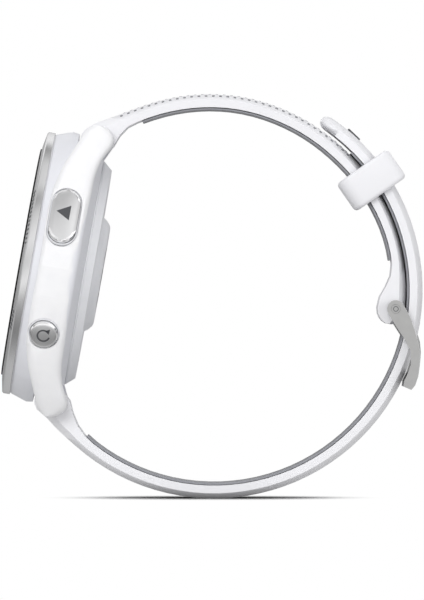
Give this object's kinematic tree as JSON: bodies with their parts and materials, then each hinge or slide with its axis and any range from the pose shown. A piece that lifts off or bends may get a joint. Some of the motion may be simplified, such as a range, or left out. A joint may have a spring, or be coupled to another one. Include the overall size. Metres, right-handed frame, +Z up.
{
  "type": "gps running watch",
  "caption": "Round sports watch with side buttons on a two-tone silicone strap, buckled into a loop with a pin buckle and a keeper.",
  "frame": {"origin": "centre of the bounding box at the floor, below the lowest point of the strap loop", "axes": "+X from the watch head to the buckle, +Y along the wrist axis away from the side with the pill-shaped button, +Z up"},
  "size_m": [0.0746, 0.0513, 0.0714],
  "materials": {
    "white_polymer": "satin moulded polymer",
    "brushed_titanium": "circular brushed metal",
    "lens_glass": "polished black-bordered cover glass",
    "black_rubber": "moulded seal rubber",
    "display_glass": "gloss",
    "dark_plastic": "moulded",
    "circuit_board": "solder mask",
    "antenna_ceramic": "fired ceramic",
    "battery_foil": "laminated foil pouch",
    "satin_steel": "satin stainless steel",
    "grey_polymer": "satin moulded polymer",
    "gold_plate": "gold-plated contact",
    "button_metal": "satin metal with a polished bevel",
    "white_silicone": "smooth silicone",
    "grey_silicone": "smooth silicone",
    "sensor_glass": "polished dark sensor window"
  },
  "bodies": {
    "watch": {"battery": "battery_foil", "beeper": "satin_steel", "bezel_ring": "brushed_titanium", "buckle_pin": "satin_steel", "charge_contact_1": "gold_plate", "charge_contact_2": "gold_plate", "charge_contact_3": "gold_plate", "charge_contact_4": "gold_plate", "cover_screw_1": "satin_steel", "cover_screw_2": "satin_steel", "cover_screw_3": "satin_steel", "cover_screw_4": "satin_steel", "display_panel": "display_glass", "down_seal": "black_rubber", "down_spring": "satin_steel", "gps_antenna": "antenna_ceramic", "inner_frame": "dark_plastic", "lap_seal": "black_rubber", "lap_spring": "satin_steel", "lens": "lens_glass", "lens_gasket": "black_rubber", "light_seal": "black_rubber", "light_spring": "satin_steel", "lower_bar_spring": "satin_steel", "lower_spring_bar": "satin_steel", "lower_strap": "white_silicone", "lower_strap_liner": "grey_silicone", "main_board": "circuit_board", "mid_case": "white_polymer", "rear_cover": "grey_polymer", "rear_gasket": "black_rubber", "sensor_board": "circuit_board", "sensor_window": "sensor_glass", "start_seal": "black_rubber", "start_spring": "satin_steel", "up_seal": "black_rubber", "up_spring": "satin_steel", "upper_bar_spring": "satin_steel", "upper_spring_bar": "satin_steel", "upper_strap": "white_silicone", "upper_strap_liner": "grey_silicone", "vibration_motor": "satin_steel"},
    "start_plunger": {"start_button": "button_metal", "start_clip": "satin_steel"},
    "lap_plunger": {"lap_button": "button_metal", "lap_clip": "satin_steel"},
    "light_plunger": {"light_button": "button_metal", "light_clip": "satin_steel"},
    "up_plunger": {"up_button": "button_metal", "up_clip": "satin_steel"},
    "down_plunger": {"down_button": "button_metal", "down_clip": "satin_steel"},
    "keeper_loop": {"keeper": "white_silicone"},
    "buckle": {"buckle_frame": "satin_steel"},
    "tongue": {"buckle_tongue": "satin_steel"},
    "upper_release": {"upper_bar_tip": "satin_steel"},
    "lower_release": {"lower_bar_tip": "satin_steel"}
  },
  "joints": [
    {"name": "start_press", "type": "slide", "parent": "watch", "child": "start_plunger", "axis": [-0.0634, 0.9311, -0.3593], "range_m": [0, 0.0006], "stiffness_N_per_m": 2500, "springref_m": -0.0008, "deforming": ["start_spring"]},
    {"name": "lap_press", "type": "slide", "parent": "watch", "child": "lap_plunger", "axis": [0.0805, 0.8862, 0.4563], "range_m": [0, 0.0006], "stiffness_N_per_m": 2500, "springref_m": -0.0008, "deforming": ["lap_spring"]},
    {"name": "light_press", "type": "slide", "parent": "watch", "child": "light_plunger", "axis": [-0.0805, -0.8862, -0.4563], "range_m": [0, 0.0006], "stiffness_N_per_m": 2500, "springref_m": -0.0008, "deforming": ["light_spring"]},
    {"name": "up_press", "type": "slide", "parent": "watch", "child": "up_plunger", "axis": [0, -1, 0], "range_m": [0, 0.0006], "stiffness_N_per_m": 2500, "springref_m": -0.0008, "deforming": ["up_spring"]},
    {"name": "down_press", "type": "slide", "parent": "watch", "child": "down_plunger", "axis": [0.0805, -0.8862, 0.4563], "range_m": [0, 0.0006], "stiffness_N_per_m": 2500, "springref_m": -0.0008, "deforming": ["down_spring"]},
    {"name": "keeper_slide_round", "type": "hinge", "parent": "watch", "child": "keeper_loop", "pos_m": [0.00044, 0, 0.03685], "axis": [0, -1, 0], "range_deg": [-6, 6]},
    {"name": "buckle_hinge", "type": "hinge", "parent": "watch", "child": "buckle", "pos_m": [0.03251, 0, 0.03349], "axis": [0, -1, 0], "range_deg": [0, 8]},
    {"name": "tongue_hinge", "type": "hinge", "parent": "buckle", "child": "tongue", "pos_m": [0.03251, 0, 0.03349], "axis": [0, -1, 0], "range_deg": [0, 6]},
    {"name": "upper_release_slide", "type": "slide", "parent": "watch", "child": "upper_release", "axis": [0, -1, 0], "range_m": [0, 0.00125], "stiffness_N_per_m": 900, "springref_m": -0.0012, "deforming": ["upper_bar_spring"]},
    {"name": "lower_release_slide", "type": "slide", "parent": "watch", "child": "lower_release", "axis": [0, -1, 0], "range_m": [0, 0.00125], "stiffness_N_per_m": 900, "springref_m": -0.0012, "deforming": ["lower_bar_spring"]}
  ]
}
